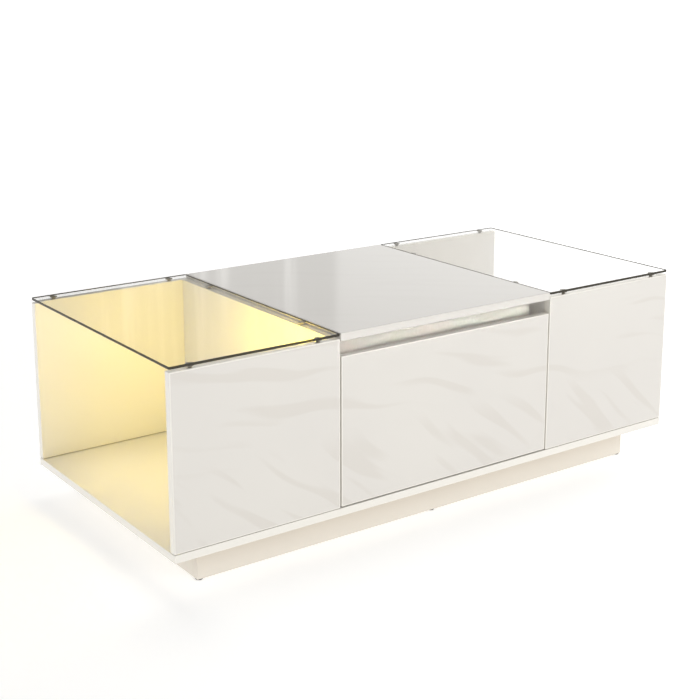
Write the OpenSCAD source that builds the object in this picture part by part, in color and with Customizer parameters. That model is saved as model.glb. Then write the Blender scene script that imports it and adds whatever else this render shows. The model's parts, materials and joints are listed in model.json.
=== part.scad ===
// Lift-top coffee table: a long cabinet on a recessed plinth. Glass covers an open
// bay at each end. Between the bays a lid swings up and forward over a hidden tray,
// and a drawer slides out below the tray.
// Sizes are in millimetres. +Z is up, -Y is the front, +X is the right, and the
// origin is on the floor under the middle of the table.

/* [Overall] */
// Length of the cabinet, left to right
table_l = 1200; // [1000:10:1500]
// Depth of the cabinet, front to back
table_d = 566; // [470:2:690]
// Height of the top surface above the floor
table_h = 417; // [346:1:510]
// Width between the two dividers
middle_w = 514; // [420:2:640]

/* [Boards] */
// Thickness of every lacquered board
board_t = 15; // [12:0.5:20]
// Chamfer that eases the edges of a board
board_ease = 0.8; // [0.3:0.1:1.5]

/* [Plinth] */
// Height of the plinth, glides included
plinth_h = 69; // [55:1:90]
// Setback of the plinth from the ends of the cabinet
plinth_end_inset = 68; // [40:1:90]
// Setback of the plinth from the front and the back
plinth_side_inset = 47; // [20:1:70]
// Height of the glides under the plinth boards
glide_h = 2; // [1:0.5:4]
// Radius of a glide
glide_r = 7; // [5:0.5:7]
// Side of the square blocks in the corners of the plinth
block_w = 32; // [20:1:45]

/* [Glass tops] */
// Thickness of the glass
glass_t = 5; // [4:0.5:8]
// Height of the glass above the panel edges
glass_lift = 5; // [3:0.5:8]
// Chamfer of the ground glass edge
glass_ease = 0.5; // [0.3:0.1:1]
// Radius of a bumper's disc
bumper_r = 7.4; // [5:0.1:7.5]
// Thickness of a bumper's disc
bumper_disc_t = 1.2; // [0.8:0.1:2]
// Radius of a bumper's stem
bumper_stem_r = 2.5; // [1.5:0.1:3.5]
// Depth of the stem in the panel edge
bumper_stem_l = 9; // [5:1:15]
// Distance from a bumper to the end of its panel
bumper_end = 43; // [20:1:80]
// Distance from the middle to a bumper on a divider
bumper_divider_y = 170; // [100:5:210]

/* [Light bar] */
// Length of the light bar in the left bay
light_l = 250; // [120:10:260]
// Height of the light bar
light_h = 12; // [8:1:18]
// Depth of the light bar
light_d = 9; // [6:1:14]
// Wall of the light bar's channel
light_wall = 1.2; // [0.8:0.1:2]
// Distance from the light bar to the divider
light_gap = 12; // [5:1:40]
// Distance from the light bar to the top of its panel
light_drop = 12; // [4:1:40]

/* [Lid and hidden tray] */
// Gap between the lid and the glass on each side
lid_gap = 1.5; // [1:0.1:4]
// Thickness of the soft pads that the lid rests on
pad_t = 1; // [0.5:0.1:2]
// Radius of a pad
pad_r = 6; // [4:0.5:7]
// Distance from the middle to a pad
pad_x = 180; // [80:5:200]
// Depth of the tray under the lid
tray_depth = 117; // [105:1:135]
// Thickness of the tray's floor
tray_t = 12; // [9:0.5:15]
// Setback of the finger rail from the front
rail_setback = 59; // [50:1:75]

/* [Drawer] */
// Gap around the drawer front
drawer_gap = 3; // [1.5:0.1:5]
// Height of the finger gap between the drawer front and the lid
finger_gap = 28; // [22:1:36]
// Gap under the drawer box
box_floor_gap = 18; // [10:1:25]
// Gap between the drawer box and the tray floor above
box_top_gap = 21; // [12:1:30]
// Thickness of the drawer's bottom
box_bottom_t = 9; // [6:0.5:12]
// Gap behind the drawer box, up to the middle back panel
box_back_gap = 81; // [66:1:120]

/* [Drawer slides] */
// How much shorter a slide is than the drawer box
slide_short = 5; // [0:1:20]
// Height of a slide
slide_h = 45; // [38:1:54]
// Room that a slide takes beside the drawer box
slide_t = 12.7; // [12.7:0.1:15]
// Thickness of the slide steel
slide_wall = 1.2; // [1:0.1:1.4]
// Play between two members of a slide
slide_play = 0.4; // [0.3:0.05:0.6]
// Distance from the drawer box to the rim of the outer member
slide_lip = 3.2; // [2.5:0.1:4]
// Distance from the drawer front to the slides
slide_setback = 6; // [2:1:12]
// Height of a slide's middle above the bottom of the drawer box
slide_rise = 48; // [30:1:55]
// Distance from the end of a slide to its last screw
slide_screw_end = 36; // [15:1:60]

/* [Lift mechanism] */
// Length of the lift arms between pivots
arm_l = 190; // [158:1:228]
// Width of a lift arm
arm_w = 18; // [16:0.5:20]
// Thickness of a lift arm
arm_t = 3; // [2.5:0.1:4]
// Angle of the arms below the horizontal when the lid is closed
arm_rest = 5; // [3:0.5:8]
// Distance from the finger rail to the upper arm's pivot
pivot_back = 59; // [50:1:70]
// Distance from the lid to the upper arm's pivot
pivot_drop = 40; // [34:1:46]
// Distance from the upper arm's pivot back to the lower arm's
pivot_pitch_y = 60; // [55:1:72]
// Distance from the upper arm's pivot down to the lower arm's
pivot_pitch_z = 28; // [26:0.5:32]
// Thickness of the plates of the mechanism
plate_t = 2; // [1.5:0.1:2.5]
// Radius of the pivots on the base plate
base_pin_r = 5; // [4:0.1:6]
// Radius of the pivots on the lid bracket
lid_pin_r = 4; // [3:0.1:5]
// Radius of the sleeve inside a lift spring
sleeve_r = 8; // [6:0.5:9]
// Wire thickness of a lift spring
spring_wire = 2.5; // [2:0.1:3]
// Turns of a lift spring
spring_turns = 4; // [3:1:4]
// Distance from the upper pivot to the posts that hold the spring's legs
spring_post_at = 40; // [30:1:45]

/* [Fits] */
// Radial clearance of a pin, peg or screw in its hole
hole_fit = 0.05; // [0.02:0.01:0.1]
// Radius of a peg between two thick boards
peg_r = 4; // [3:0.5:4.5]
// Length of a peg
peg_l = 24; // [18:1:26]
// Distance from the ends of a joint to its pegs
joint_peg_inset = 80; // [60:5:95]
// Height between the pegs of two joints that meet in one corner
joint_peg_step = 20; // [12:1:30]
// Distance from the edges of the finger rail to its pegs
rail_peg_inset = 25; // [12:1:35]
// Distance from the edges of a drawer side to its pegs
box_peg_inset = 28; // [16:1:34]
// Radius of a peg at the tray floor
tray_peg_r = 3; // [2:0.5:4]
// Radius of a screw's shank
screw_r = 1.75; // [1.5:0.05:2]
// Radius of a screw's head
screw_head_r = 3.4; // [3:0.1:4]
// Length of a screw past the plate that it holds
screw_l = 11; // [8:0.5:12]

/* [Hidden] */
$fn = 48;
half_l = table_l / 2;
half_d = table_d / 2;
half_m = middle_w / 2;
base_top = plinth_h + board_t;
panel_top = table_h - glass_t - glass_lift;
glass_z = table_h - glass_t;
lid_under = table_h - board_t;
pad_z = lid_under - pad_t;
inner_y = half_d - board_t;
panel_mid_y = half_d - board_t / 2;
divider_mid_x = half_m + board_t / 2;
bumper_x = [half_m + bumper_end, half_l - bumper_end];

plinth_x = half_l - plinth_end_inset;
plinth_y = half_d - plinth_side_inset;

tray_top = lid_under - tray_depth;
tray_under = tray_top - tray_t;
rail_front = -half_d + rail_setback;
rail_back = rail_front + board_t;

drawer_front_w = middle_w - 2 * drawer_gap;
drawer_front_z = [base_top + drawer_gap, lid_under - finger_gap];
box_x = half_m - slide_t;
box_inner_x = box_x - board_t;
box_z = [base_top + box_floor_gap, tray_under - box_top_gap];
box_bottom_top = box_z[0] + box_bottom_t;
box_back = inner_y - box_back_gap;
box_back_front = box_back - board_t;

slide_start = -inner_y + slide_setback;
slide_l = box_back + inner_y - slide_short;
slide_z = box_z[0] + slide_rise;
slide_step = slide_wall + slide_play;
slide_screw_y = [
    slide_start + slide_screw_end,
    slide_start + slide_l / 2,
    slide_start + slide_l - slide_screw_end
];

// Pivots of the lift mechanism as [y, z] points
arm_way = [cos(arm_rest), -sin(arm_rest)];
upper_base = [rail_back + pivot_back, lid_under - pivot_drop];
lower_base = upper_base + [pivot_pitch_y, -pivot_pitch_z];
upper_tip = upper_base + arm_l * arm_way;
lower_tip = lower_base + arm_l * arm_way;
// Layers of the lift mechanism, from the divider inwards
washer_t = 0.9;
arm_play = 0.1;
pin_head_t = 2;
pin_cap_t = 1.2;
pin_cap_rim = 2;
pin_collar_rim = 3;
bracket_clear = 2.5;
plate_x = half_m - plate_t;
arm_out = plate_x - washer_t - arm_play;
arm_in = arm_out - arm_t;
sleeve_end = arm_in - 2 * arm_play;
spring_l = spring_wire * spring_turns;
spring_x = sleeve_end - arm_play - spring_l;
sleeve_start = spring_x - arm_play;
spring_play = 0.5;
post_r = 3;
bracket_out = arm_in - bracket_clear;
bracket_in = bracket_out - plate_t;
bracket_flange_w = 22;
bracket_overhang = 60;
bracket_margin = 18;
bracket_screw_inset = 12;
bracket_screw_past = 8;
bracket_screw_x = bracket_out - bracket_flange_w / 2;
bracket_screw_y = [
    upper_tip[0] - bracket_overhang + bracket_screw_inset,
    upper_tip[0] - bracket_screw_past,
    lower_tip[0] + bracket_screw_past,
    lower_tip[0] + bracket_overhang - bracket_screw_inset
];
// The base plate reaches past its pivots
plate_end_margin = 40;
plate_top_margin = 22;
plate_foot_margin = 34;
plate_front = upper_base[0] - plate_end_margin;
plate_back = lower_base[0] + plate_end_margin;
plate_top = upper_base[1] + plate_top_margin;
plate_foot = lower_base[1] - plate_foot_margin;
plate_corner = 8;
spring_post = upper_base - [0, spring_post_at];
rivet_r = 4;
post_rivet_r = 2.5;

// Channel of the light bar, between its two end caps
light_end_t = 2;
light_x = [-half_m - board_t - light_gap - light_l, -half_m - board_t - light_gap];
light_z = [panel_top - light_drop - light_h, panel_top - light_drop];

// Waist of a bumper, between its stem and its cup
bumper_waist_r = bumper_stem_r + 1;
bumper_waist_z = 2;
bumper_disc_z = glass_lift - bumper_disc_t;

white = [0.95, 0.94, 0.91];
ivory = [0.93, 0.89, 0.82];
pine = [0.82, 0.68, 0.48];
zinc = [0.72, 0.73, 0.75];
steel_black = [0.16, 0.16, 0.17];
smoke = [0.45, 0.42, 0.34];
// Both sides, or both faces
sides = [-1, 1];
// How far a cut runs past the face that it opens
over = 1;

// ---- Shapes that repeat ----

// Draws its children on the right (1) or mirrored to the left (-1)
module on_side(side) {
    if (side > 0) children();
    else mirror([1, 0, 0]) children();
}

// Turns flat work from the XY plane into the YZ plane at a distance x
module at_x(x) translate([x, 0, 0]) rotate([90, 0, 90]) children();

module eased_outline(w, h, ease) {
    polygon([
        [ease, 0], [w - ease, 0], [w, ease], [w, h - ease],
        [w - ease, h], [ease, h], [0, h - ease], [0, ease]
    ]);
}

// A box between two corners with all its edges chamfered
module board(low, high, ease = board_ease) {
    size = high - low;
    translate(low) intersection() {
        linear_extrude(size.z) eased_outline(size.x, size.y, ease);
        translate([0, size.y, 0]) rotate([90, 0, 0])
            linear_extrude(size.y) eased_outline(size.x, size.z, ease);
        at_x(0) linear_extrude(size.x) eased_outline(size.y, size.z, ease);
    }
}

module rounded_outline(low, high, r) {
    translate([low[0] + r, low[1]]) square([high[0] - low[0] - 2 * r, high[1] - low[1]]);
    translate([low[0], low[1] + r]) square([high[0] - low[0], high[1] - low[1] - 2 * r]);
    for (x = [low[0] + r, high[0] - r], y = [low[1] + r, high[1] - r])
        translate([x, y]) circle(r);
}

// A peg centred on a joint. With a fit it is the hole for that peg.
module peg(centre, turn, r, length, fit) {
    end_room = fit > 0 ? 1 : 0;
    translate(centre) rotate(turn)
        cylinder(r = r + fit, h = length + end_room, center = true);
}

// A countersunk screw along +Z, its head flush with z = 0 in a plate.
// With a fit it is the hole for that screw.
module screw(plate, fit) {
    tip = plate + screw_l + (fit > 0 ? 0.5 : 0);
    rotate_extrude() polygon([
        [0, 0], [screw_head_r + fit, 0], [screw_r + fit, plate],
        [screw_r + fit, tip - screw_r], [0, tip]
    ]);
    if (fit > 0) translate([0, 0, -over]) cylinder(r = screw_head_r + fit, h = over);
}

// A turned pin along +Z: each step is [radius, start, end]
module turned_pin(steps) {
    for (step = steps) translate([0, 0, step[1]]) cylinder(r = step[0], h = step[2] - step[1]);
}

// ---- Plinth ----

module glides() {
    color(steel_black) for (x = [-1, 0, 1], face = sides)
        translate([x * (plinth_x - board_t / 2), face * (plinth_y - board_t / 2), 0])
            cylinder(r = glide_r, h = glide_h);
}

module plinth_long_board(face) {
    y = face > 0 ? plinth_y - board_t : -plinth_y;
    color(ivory) board([-plinth_x, y, glide_h], [plinth_x, y + board_t, plinth_h]);
}

module plinth_end_board(side) {
    color(ivory) on_side(side)
        board([plinth_x - board_t, -plinth_y + board_t, glide_h],
              [plinth_x, plinth_y - board_t, plinth_h]);
}

module plinth_stretchers() {
    color(pine) for (side = sides) on_side(side)
        board([half_m, -plinth_y + board_t, glide_h],
              [half_m + board_t, plinth_y - board_t, plinth_h]);
}

module plinth_corner_blocks() {
    x = plinth_x - board_t - block_w;
    y = plinth_y - board_t - block_w;
    color(pine) for (side = sides, face = sides) on_side(side)
        mirror([0, face > 0 ? 0 : 1, 0])
            board([x, y, glide_h], [x + block_w, y + block_w, plinth_h]);
}

// ---- Cabinet ----

// Every peg of the cabinet, or with a fit every hole for them
module cabinet_pegs(fit) {
    for (side = sides, face = sides) {
        divider_end = [side * divider_mid_x, face * inner_y, 0];
        // Bay panels and dividers on the bottom panel
        for (x = bumper_x)
            peg([side * x, face * panel_mid_y, base_top], [0, 0, 0], peg_r, peg_l, fit);
        peg([side * divider_mid_x, face * bumper_divider_y, base_top], [0, 0, 0],
            peg_r, peg_l, fit);
        // Bay panels on the ends of the dividers
        for (z = [base_top + joint_peg_inset, panel_top - joint_peg_inset])
            peg(divider_end + [0, 0, z], [90, 0, 0], peg_r, peg_l, fit);
        // Tray floor between the dividers
        peg([side * half_m, face * bumper_divider_y, tray_top - tray_t / 2], [0, 90, 0],
            tray_peg_r, peg_l, fit);
    }
    for (side = sides) {
        // Middle back panel on the bottom panel and between the bay panels
        peg([side * pad_x, panel_mid_y, base_top], [0, 0, 0], peg_r, peg_l, fit);
        for (z = [base_top, panel_top - 2 * joint_peg_inset])
            peg([side * half_m, panel_mid_y, z + joint_peg_inset + joint_peg_step], [0, 90, 0],
                peg_r, peg_l, fit);
        // Finger rail between the dividers
        for (z = [tray_top + rail_peg_inset, pad_z - rail_peg_inset])
            peg([side * half_m, rail_back - board_t / 2, z], [0, 90, 0], peg_r, peg_l, fit);
    }
}

module carcass_pegs() {
    color(pine) cabinet_pegs(0);
}

module bottom_panel() {
    color(white) difference() {
        board([-half_l, -half_d, plinth_h], [half_l, half_d, base_top]);
        cabinet_pegs(hole_fit);
    }
}

// The long panel of a bay, on the front (-1) or the back (1)
module bay_panel(side, face) {
    y = face > 0 ? inner_y : -half_d;
    color(white) difference() {
        on_side(side) board([half_m, y, base_top], [half_l, y + board_t, panel_top]);
        cabinet_pegs(hole_fit);
        bay_bumpers(side, hole_fit);
    }
}

module divider(side) {
    color(white) difference() {
        on_side(side)
            board([half_m, -inner_y, base_top], [half_m + board_t, inner_y, panel_top]);
        cabinet_pegs(hole_fit);
        bay_bumpers(side, hole_fit);
        slide_outer_screw_set(side, hole_fit);
        lift_base_screw_set(side, hole_fit);
    }
}

module middle_back_panel() {
    color(white) difference() {
        board([-half_m, inner_y, base_top], [half_m, half_d, pad_z]);
        cabinet_pegs(hole_fit);
    }
}

module finger_rail() {
    color(white) difference() {
        board([-half_m, rail_front, tray_top], [half_m, rail_back, pad_z]);
        cabinet_pegs(hole_fit);
    }
}

module tray_floor() {
    color(white) difference() {
        board([-half_m, rail_front, tray_under], [half_m, inner_y, tray_top]);
        cabinet_pegs(hole_fit);
    }
}

module lid_rest_pads() {
    color(smoke) for (side = sides, y = [rail_back - board_t / 2, panel_mid_y])
        translate([side * pad_x, y, pad_z]) cylinder(r = pad_r, h = pad_t);
}

// ---- Glass tops ----

module glass_top(side) {
    color("lightcyan", 0.4) on_side(side)
        board([half_m, -half_d, glass_z], [half_l, half_d, table_h], glass_ease);
}

// A cup under the glass on a waist and a stem. With a fit it is the stem's hole.
module bumper(fit) {
    if (fit > 0)
        translate([0, 0, -bumper_stem_l - 0.5])
            cylinder(r = bumper_stem_r + fit, h = bumper_stem_l + over);
    else rotate_extrude() polygon([
        [0, -bumper_stem_l], [bumper_stem_r, -bumper_stem_l], [bumper_stem_r, 0],
        [bumper_waist_r, 0], [bumper_waist_r, bumper_waist_z], [bumper_r, bumper_disc_z],
        [bumper_r, glass_lift], [0, glass_lift]
    ]);
}

module bay_bumpers(side, fit) {
    for (face = sides) {
        for (x = bumper_x)
            translate([side * x, face * panel_mid_y, panel_top]) bumper(fit);
        translate([side * divider_mid_x, face * bumper_divider_y, panel_top]) bumper(fit);
    }
}

module glass_bumpers(side) {
    color(smoke) bay_bumpers(side, 0);
}

// ---- Light bar in the left bay ----

// A U channel on the front panel's inner face, open to the back
module light_channel() {
    color(zinc) translate([light_x[0] + light_end_t, -inner_y, light_z[0]]) difference() {
        cube([light_l - 2 * light_end_t, light_d, light_h]);
        translate([-over, light_wall, light_wall])
            cube([light_l + over, light_d, light_h - 2 * light_wall]);
    }
}

module light_diffuser() {
    color("lightyellow")
        translate([light_x[0] + light_end_t, -inner_y + light_wall, light_z[0] + light_wall])
            cube([light_l - 2 * light_end_t, light_d - light_wall, light_h - 2 * light_wall]);
}

module light_end_caps() {
    color(white) for (x = [light_x[0], light_x[1] - light_end_t])
        translate([x, -inner_y, light_z[0]]) cube([light_end_t, light_d, light_h]);
}

// ---- Lid ----

module lift_lid() {
    color(white) difference() {
        board([-half_m + lid_gap, -half_d, lid_under], [half_m - lid_gap, half_d, table_h]);
        lid_screw_set(hole_fit);
    }
}

// ---- Drawer ----

module drawer_peg_set(fit) {
    for (side = sides) {
        for (z = [box_z[0] + box_peg_inset, box_z[1] - box_peg_inset]) {
            peg([side * (box_x - board_t / 2), -inner_y, z], [90, 0, 0], peg_r, peg_l, fit);
            peg([side * box_inner_x, box_back - board_t / 2, z], [0, 90, 0],
                peg_r, peg_l, fit);
        }
    }
}

module drawer_pegs() {
    color(pine) drawer_peg_set(0);
}

module drawer_front() {
    color(white) difference() {
        board([-drawer_front_w / 2, -half_d, drawer_front_z[0]],
              [drawer_front_w / 2, -inner_y, drawer_front_z[1]]);
        drawer_peg_set(hole_fit);
    }
}

module drawer_side(side) {
    color(white) difference() {
        on_side(side) board([box_inner_x, -inner_y, box_z[0]], [box_x, box_back, box_z[1]]);
        drawer_peg_set(hole_fit);
        slide_inner_screw_set(side, hole_fit);
    }
}

module drawer_back() {
    color(white) difference() {
        board([-box_inner_x, box_back_front, box_bottom_top], [box_inner_x, box_back, box_z[1]]);
        drawer_peg_set(hole_fit);
    }
}

module drawer_bottom() {
    color(white)
        board([-box_inner_x, -inner_y, box_z[0]], [box_inner_x, box_back, box_bottom_top]);
}

// ---- Drawer slides ----

// A steel C channel along Y: its web is at back_x and it opens towards front_x
module slide_channel(back_x, front_x, half_h) {
    web = back_x + (front_x > back_x ? slide_wall : -slide_wall);
    rim = half_h - slide_wall;
    translate([0, slide_start + slide_l, slide_z]) rotate([90, 0, 0]) linear_extrude(slide_l)
        polygon([
            [back_x, -half_h], [front_x, -half_h], [front_x, -rim], [web, -rim],
            [web, rim], [front_x, rim], [front_x, half_h], [back_x, half_h]
        ]);
}

module slide_outer_screw_set(side, fit) {
    on_side(side) for (y = slide_screw_y)
        translate([half_m - slide_wall, y, slide_z]) rotate([0, 90, 0]) screw(slide_wall, fit);
}

module slide_inner_screw_set(side, fit) {
    on_side(side) for (y = slide_screw_y)
        translate([box_x + slide_wall, y, slide_z]) rotate([0, -90, 0]) screw(slide_wall, fit);
}

module slide_outer(side) {
    color(zinc) difference() {
        on_side(side) slide_channel(half_m, box_x + slide_lip, slide_h / 2);
        slide_outer_screw_set(side, hole_fit);
    }
}

module slide_middle(side) {
    color(zinc) on_side(side)
        slide_channel(half_m - slide_step, box_x + slide_wall + 1.5 * slide_play,
                      slide_h / 2 - slide_step);
}

module slide_inner(side) {
    color(zinc) difference() {
        on_side(side)
            slide_channel(box_x, half_m - 2 * slide_step, slide_h / 2 - 2 * slide_step);
        slide_inner_screw_set(side, hole_fit);
    }
}

module slide_outer_screws() {
    color(zinc) for (side = sides) slide_outer_screw_set(side, 0);
}

module slide_inner_screws() {
    color(zinc) for (side = sides) slide_inner_screw_set(side, 0);
}

// ---- Lift mechanism ----

module lift_base_screw_set(side, fit) {
    on_side(side)
        for (y = [plate_front + plate_corner, plate_back - plate_corner])
            for (z = [plate_foot + plate_corner, plate_top - plate_corner])
                translate([plate_x, y, z]) rotate([0, 90, 0]) screw(plate_t, fit);
}

module lift_base_screws() {
    color(zinc) for (side = sides) lift_base_screw_set(side, 0);
}

module lift_base(side) {
    color(steel_black) difference() {
        on_side(side) at_x(plate_x) difference() {
            linear_extrude(plate_t)
                rounded_outline([plate_front, plate_foot], [plate_back, plate_top], plate_corner);
            for (place = [upper_base, lower_base])
                translate([place[0], place[1], -over])
                    cylinder(r = rivet_r + hole_fit, h = plate_t + 2 * over);
            translate([spring_post[0], spring_post[1], -over])
                cylinder(r = post_rivet_r + hole_fit, h = plate_t + 2 * over);
        }
        lift_base_screw_set(side, hole_fit);
    }
}

// The pins that are riveted to a base plate
module lift_pivots(side) {
    pin_base = [[base_pin_r, sleeve_end, arm_out + arm_play],
                [sleeve_r, arm_out + arm_play, plate_x], [rivet_r, plate_x, half_m]];
    color(zinc) on_side(side) at_x(0) {
        translate(upper_base) turned_pin(concat([
            [sleeve_r + spring_play + spring_wire, sleeve_start - pin_head_t, sleeve_start],
            [sleeve_r, sleeve_start, sleeve_end]
        ], pin_base));
        translate(lower_base)
            turned_pin(concat([[sleeve_r, sleeve_end - pin_head_t, sleeve_end]], pin_base));
        translate(spring_post)
            turned_pin([[post_r, sleeve_start, plate_x], [post_rivet_r, plate_x, half_m]]);
    }
}

// A flat arm from its base pivot at the origin to its tip along X
module arm_plate() {
    difference() {
        linear_extrude(arm_t) union() {
            translate([0, -arm_w / 2]) square([arm_l, arm_w]);
            circle(arm_w / 2);
            translate([arm_l, 0]) circle(arm_w / 2);
        }
        translate([0, 0, -over]) cylinder(r = base_pin_r + hole_fit, h = arm_t + 2 * over);
        translate([arm_l, 0, -over]) cylinder(r = lid_pin_r + hole_fit, h = arm_t + 2 * over);
    }
}

// The upper arm also carries the post of the spring's moving leg
module upper_arm(side) {
    post_l = arm_in - sleeve_start;
    color(steel_black) on_side(side) at_x(arm_in)
        translate(upper_base) rotate(-arm_rest) {
            arm_plate();
            translate([spring_post_at, 0, -post_l]) cylinder(r = post_r, h = post_l + arm_t / 2);
        }
}

module lower_arm(side) {
    color(steel_black) on_side(side) at_x(arm_in)
        translate(lower_base) rotate(-arm_rest) arm_plate();
}

// The coiled spring, as the sleeve of space that its wire fills
module lift_spring(side) {
    color(zinc) on_side(side) at_x(spring_x) translate(upper_base) difference() {
        cylinder(r = sleeve_r + spring_play + spring_wire, h = spring_l);
        translate([0, 0, -over]) cylinder(r = sleeve_r + spring_play, h = spring_l + 2 * over);
    }
}

module lid_screw_set(fit) {
    for (side = sides) on_side(side) for (y = bracket_screw_y)
        translate([bracket_screw_x, y, lid_under - plate_t]) screw(plate_t, fit);
}

module lid_bracket_screws() {
    color(zinc) lid_screw_set(0);
}

module lid_bracket(side) {
    foot = [upper_tip[0] - bracket_margin, lower_tip[1] - bracket_margin];
    head = [lower_tip[0] + bracket_margin, lid_under - plate_t];
    color(steel_black) difference() {
        on_side(side) union() {
            at_x(bracket_in) linear_extrude(plate_t) {
                rounded_outline(foot, head, plate_corner);
                translate([foot[0], head[1] - 2 * plate_corner])
                    square([head[0] - foot[0], 2 * plate_corner]);
            }
            translate([bracket_out - bracket_flange_w,
                       upper_tip[0] - bracket_overhang, lid_under - plate_t])
                cube([bracket_flange_w,
                      lower_tip[0] - upper_tip[0] + 2 * bracket_overhang, plate_t]);
        }
        on_side(side) at_x(bracket_in) for (place = [upper_tip, lower_tip])
            translate([place[0], place[1], -over])
                cylinder(r = lid_pin_r + hole_fit, h = plate_t + 2 * over);
        lid_screw_set(hole_fit);
    }
}

// The pins that are riveted to a lid bracket and carry the arm tips
module lid_pivots(side) {
    color(zinc) on_side(side) at_x(0) for (place = [upper_tip, lower_tip])
        translate(place) turned_pin([
            [lid_pin_r + pin_cap_rim, bracket_in - pin_cap_t, bracket_in],
            [lid_pin_r, bracket_in, bracket_out],
            [lid_pin_r + pin_collar_rim, bracket_out, arm_in - arm_play],
            [lid_pin_r, arm_in - arm_play, arm_out + arm_play],
            [lid_pin_r + pin_cap_rim, arm_out + arm_play, arm_out + arm_play + pin_cap_t]
        ]);
}

// ---- The whole table ----

glides();
plinth_long_board(-1);  // plinth_front
plinth_long_board(1);  // plinth_back
plinth_end_board(-1);  // plinth_left
plinth_end_board(1);  // plinth_right
plinth_stretchers();
plinth_corner_blocks();
bottom_panel();
bay_panel(-1, -1);  // left_front_panel
bay_panel(1, -1);  // right_front_panel
bay_panel(-1, 1);  // left_back_panel
bay_panel(1, 1);  // right_back_panel
divider(-1);  // left_divider
divider(1);  // right_divider
middle_back_panel();
finger_rail();
tray_floor();
lid_rest_pads();
carcass_pegs();
glass_top(-1);  // glass_left
glass_top(1);  // glass_right
glass_bumpers(-1);  // glass_bumpers_left
glass_bumpers(1);  // glass_bumpers_right
light_channel();
light_diffuser();
light_end_caps();
lift_lid();
drawer_front();
drawer_side(-1);  // drawer_side_left
drawer_side(1);  // drawer_side_right
drawer_back();
drawer_bottom();
drawer_pegs();
slide_outer(-1);  // slide_outer_left
slide_outer(1);  // slide_outer_right
slide_middle(-1);  // slide_middle_left
slide_middle(1);  // slide_middle_right
slide_inner(-1);  // slide_inner_left
slide_inner(1);  // slide_inner_right
slide_outer_screws();
slide_inner_screws();
lift_base(-1);  // lift_base_left
lift_base(1);  // lift_base_right
lift_base_screws();
lift_pivots(-1);  // lift_pivots_left
lift_pivots(1);  // lift_pivots_right
upper_arm(-1);  // upper_arm_left
upper_arm(1);  // upper_arm_right
lower_arm(-1);  // lower_arm_left
lower_arm(1);  // lower_arm_right
lift_spring(-1);  // lift_spring_left
lift_spring(1);  // lift_spring_right
lid_bracket(-1);  // lid_bracket_left
lid_bracket(1);  // lid_bracket_right
lid_pivots(-1);  // lid_pivots_left
lid_pivots(1);  // lid_pivots_right
lid_bracket_screws();
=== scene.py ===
import json
import math

import bmesh
import bpy
from mathutils import Matrix, Vector


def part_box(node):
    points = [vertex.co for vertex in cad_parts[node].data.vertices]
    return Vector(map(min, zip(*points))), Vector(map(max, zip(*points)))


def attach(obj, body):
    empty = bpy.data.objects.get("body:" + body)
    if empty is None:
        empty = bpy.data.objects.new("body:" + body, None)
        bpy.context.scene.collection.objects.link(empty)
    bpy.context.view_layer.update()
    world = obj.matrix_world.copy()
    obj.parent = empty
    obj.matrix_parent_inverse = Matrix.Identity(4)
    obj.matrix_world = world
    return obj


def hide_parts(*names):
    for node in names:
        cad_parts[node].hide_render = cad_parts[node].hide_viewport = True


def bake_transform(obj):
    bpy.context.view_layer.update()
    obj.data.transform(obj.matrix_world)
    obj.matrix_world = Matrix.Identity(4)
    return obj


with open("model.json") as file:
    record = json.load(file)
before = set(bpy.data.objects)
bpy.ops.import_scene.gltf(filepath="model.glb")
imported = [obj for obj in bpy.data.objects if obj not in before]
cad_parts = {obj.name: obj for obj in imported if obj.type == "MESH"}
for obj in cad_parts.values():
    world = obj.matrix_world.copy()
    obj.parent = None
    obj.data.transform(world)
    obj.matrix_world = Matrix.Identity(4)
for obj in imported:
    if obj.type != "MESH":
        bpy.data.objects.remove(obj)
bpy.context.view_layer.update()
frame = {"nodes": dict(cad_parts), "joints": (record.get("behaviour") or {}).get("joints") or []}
joints = {joint["name"]: joint for joint in frame["joints"]}
scene = bpy.context.scene
print("frame loaded:", len(frame["nodes"]), "nodes")

# The camera stands at the left front, a little above the table
cameraSetup = {
    "place": (-1.5836, -2.1591, 1.0700),
    "heading": 35.696,      # degrees from +Y towards +X
    "tilt": 12.983,         # degrees below level
    "lens": 69.08,
    "shiftY": -0.12,
}


def placeCamera(setup):
    data = bpy.data.cameras.new("tableCamera")
    data.lens = setup["lens"]
    data.sensor_width = 36
    data.shift_y = setup["shiftY"]
    data.clip_end = 200
    camera = bpy.data.objects.new("tableCamera", data)
    camera.location = setup["place"]
    camera.rotation_euler = (math.radians(90 - setup["tilt"]), 0, -math.radians(setup["heading"]))
    scene.collection.objects.link(camera)
    scene.camera = camera


placeCamera(cameraSetup)
print("camera placed")


# Helpers that add and join shader nodes

def newGroup(name, inputs, outputs):
    # A group reads one vector and some numbers, each with its default, and puts out numbers
    group = bpy.data.node_groups.new(name, "ShaderNodeTree")
    group.interface.new_socket("Vector", in_out="INPUT", socket_type="NodeSocketVector")
    for key, default in inputs.items():
        socket = group.interface.new_socket(key, in_out="INPUT", socket_type="NodeSocketFloat")
        socket.default_value = default
    for key in outputs:
        group.interface.new_socket(key, in_out="OUTPUT", socket_type="NodeSocketFloat")
    entry = group.nodes.new("NodeGroupInput").outputs
    return group, entry, group.nodes.new("NodeGroupOutput").inputs


def addNode(tree, kind, settings=None, inputs=None):
    # An input is either another node's output, which is linked, or a plain value
    node = tree.nodes.new(kind)
    for key, value in (settings or {}).items():
        setattr(node, key, value)
    for key, value in (inputs or {}).items():
        if isinstance(value, bpy.types.NodeSocket):
            tree.links.new(value, node.inputs[key])
        else:
            node.inputs[key].default_value = value
    return node


def addMath(tree, operation, *values):
    node = addNode(tree, "ShaderNodeMath", {"operation": operation}, dict(enumerate(values)))
    return node.outputs[0]


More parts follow.
